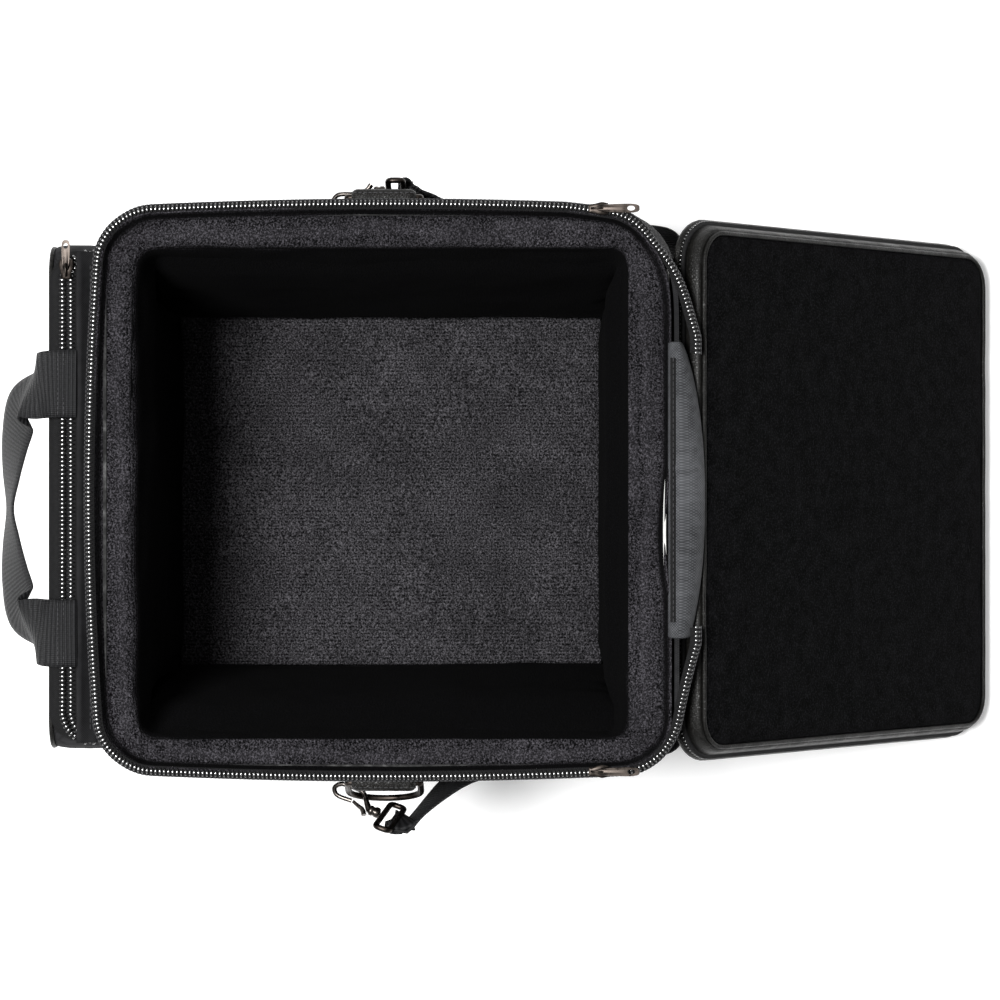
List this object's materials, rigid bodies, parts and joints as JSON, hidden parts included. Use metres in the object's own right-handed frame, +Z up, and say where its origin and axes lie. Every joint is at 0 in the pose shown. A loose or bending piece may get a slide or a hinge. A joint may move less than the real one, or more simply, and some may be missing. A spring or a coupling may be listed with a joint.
{
  "type": "miniature carry case",
  "caption": "Soft-sided square carry case for tabletop miniatures: padded open-top body with a zip-round hinged lid, front zip pocket, webbing carry handle and clip-on shoulder strap.",
  "frame": {"origin": "middle of the base's underside", "axes": "+Z up, -Y towards the front pocket and carry handle, +Y towards the lid hinge, -X and +X towards the two strap hooks"},
  "size_m": [0.3769, 0.5932, 0.2649],
  "materials": {
    "outer_fabric": "coated woven polyester, matt charcoal black",
    "lining": "short brushed pile, dark charcoal",
    "felt": "flat pressed felt, near black",
    "board": "stiffening board, light grey edge",
    "hinge_fabric": "plain weave, mid grey",
    "leatherette": "soft pebbled coating, satin black",
    "zip_tape": "herringbone tape, dark grey",
    "zip_coil": "glossy black nylon coil",
    "webbing": "ribbed black nylon webbing",
    "gunmetal": "dark gunmetal plating, semi-bright",
    "plastic": "moulded black plastic",
    "foam": "open foam, dark grey"
  },
  "bodies": {
    "case_body": {"base_board": "board", "base_panel": "outer_fabric", "base_piping": "leatherette", "floor_pad": "lining", "front_board": "board", "front_panel": "outer_fabric", "front_wall_pad": "lining", "hinge_gusset": "hinge_fabric", "left_board": "board", "left_panel": "outer_fabric", "left_ring_tab": "leatherette", "left_strap": "webbing", "left_wall_pad": "lining", "pocket_gusset": "outer_fabric", "pocket_panel": "outer_fabric", "pocket_seam_ridge": "outer_fabric", "pocket_top_band": "outer_fabric", "pocket_zip_chain": "zip_coil", "pocket_zip_tape": "zip_tape", "rear_board": "board", "rear_panel": "outer_fabric", "rear_wall_pad": "lining", "right_board": "board", "right_panel": "outer_fabric", "right_ring_tab": "leatherette", "right_strap": "webbing", "right_wall_pad": "lining", "rim_zip_coil": "zip_coil", "rim_zip_tape": "zip_tape"},
    "lid": {"lid_cover": "leatherette", "lid_foam": "foam", "lid_lining": "felt", "lid_side_band": "leatherette", "lid_piping": "leatherette", "lid_zip_coil": "zip_coil", "lid_zip_tape": "zip_tape"},
    "carry_handle": {"carry_handle": "webbing"},
    "left_slider": {"left_rim_slider": "gunmetal"},
    "left_puller": {"left_rim_puller": "gunmetal"},
    "right_slider": {"right_rim_slider": "gunmetal"},
    "right_puller": {"right_rim_puller": "gunmetal"},
    "pocket_slider": {"pocket_slider": "gunmetal"},
    "pocket_puller": {"pocket_puller": "gunmetal"},
    "left_hook_set": {"left_d_ring": "gunmetal", "left_snap_hook": "gunmetal"},
    "right_hook_set": {"right_d_ring": "gunmetal", "right_snap_hook": "gunmetal"},
    "left_gate": {"left_hook_gate": "gunmetal"},
    "right_gate": {"right_hook_gate": "gunmetal"},
    "left_eye": {"left_strap_eye": "gunmetal"},
    "right_eye": {"right_strap_eye": "gunmetal"},
    "strap_adjuster": {"strap_adjuster": "plastic"}
  },
  "joints": [
    {"name": "lid_hinge", "type": "hinge", "parent": "case_body", "child": "lid", "pos_m": [0, 0.1635, 0.254], "axis": [1, 0, 0], "range_deg": [0, 230.5]},
    {"name": "carry_handle_swing", "type": "hinge", "parent": "case_body", "child": "carry_handle", "pos_m": [0.0105, -0.1775, 0.238], "axis": [-1, 0, 0], "range_deg": [0, 100]},
    {"name": "left_slider_travel", "type": "slide", "parent": "case_body", "child": "left_slider", "axis": [0, -1, 0], "range_m": [0, 0.235]},
    {"name": "right_slider_travel", "type": "slide", "parent": "case_body", "child": "right_slider", "axis": [0, -1, 0], "range_m": [0, 0.235]},
    {"name": "left_puller_flap", "type": "hinge", "parent": "left_slider", "child": "left_puller", "pos_m": [-0.1573, 0.118, 0.2642], "axis": [1, 0, 0], "range_deg": [0, 165]},
    {"name": "right_puller_flap", "type": "hinge", "parent": "right_slider", "child": "right_puller", "pos_m": [0.1573, 0.118, 0.2642], "axis": [1, 0, 0], "range_deg": [0, 165]},
    {"name": "pocket_slider_travel", "type": "slide", "parent": "case_body", "child": "pocket_slider", "axis": [1, 0, 0], "range_m": [0, 0.255]},
    {"name": "pocket_puller_flap", "type": "hinge", "parent": "pocket_slider", "child": "pocket_puller", "pos_m": [-0.1255, -0.183, 0.2344], "axis": [0, 1, 0], "range_deg": [0, 165]},
    {"name": "left_ring_swing", "type": "hinge", "parent": "case_body", "child": "left_hook_set", "pos_m": [-0.165, 0, 0.243], "axis": [0, 1, 0], "range_deg": [0, 72], "deforming": ["left_strap"]},
    {"name": "right_ring_swing", "type": "hinge", "parent": "case_body", "child": "right_hook_set", "pos_m": [0.165, 0, 0.243], "axis": [0, -1, 0], "range_deg": [0, 70], "deforming": ["right_strap"]},
    {"name": "left_gate_spring", "type": "hinge", "parent": "left_hook_set", "child": "left_gate", "pos_m": [-0.1715, -0.0128, 0.219], "axis": [0, 0, 1], "range_deg": [0, 8], "stiffness_Nm_per_rad": 0.01},
    {"name": "right_gate_spring", "type": "hinge", "parent": "right_hook_set", "child": "right_gate", "pos_m": [0.18168, -0.01554, 0.22353], "axis": [0.342, 0, -0.9397], "range_deg": [0, 8], "stiffness_Nm_per_rad": 0.01},
    {"name": "left_eye_swivel", "type": "hinge", "parent": "left_hook_set", "child": "left_eye", "pos_m": [-0.1705, -0.0004, 0.219], "axis": [0, 1, 0], "range_deg": [0, 8]},
    {"name": "right_eye_swivel", "type": "hinge", "parent": "right_hook_set", "child": "right_eye", "pos_m": [0.18478, -0.00354, 0.22466], "axis": [0.3214, 0.9397, 0.117], "range_deg": [-8, 8]},
    {"name": "adjuster_slide", "type": "slide", "parent": "case_body", "child": "strap_adjuster", "axis": [1, 0, 0], "range_m": [-0.06, 0.06]}
  ]
}
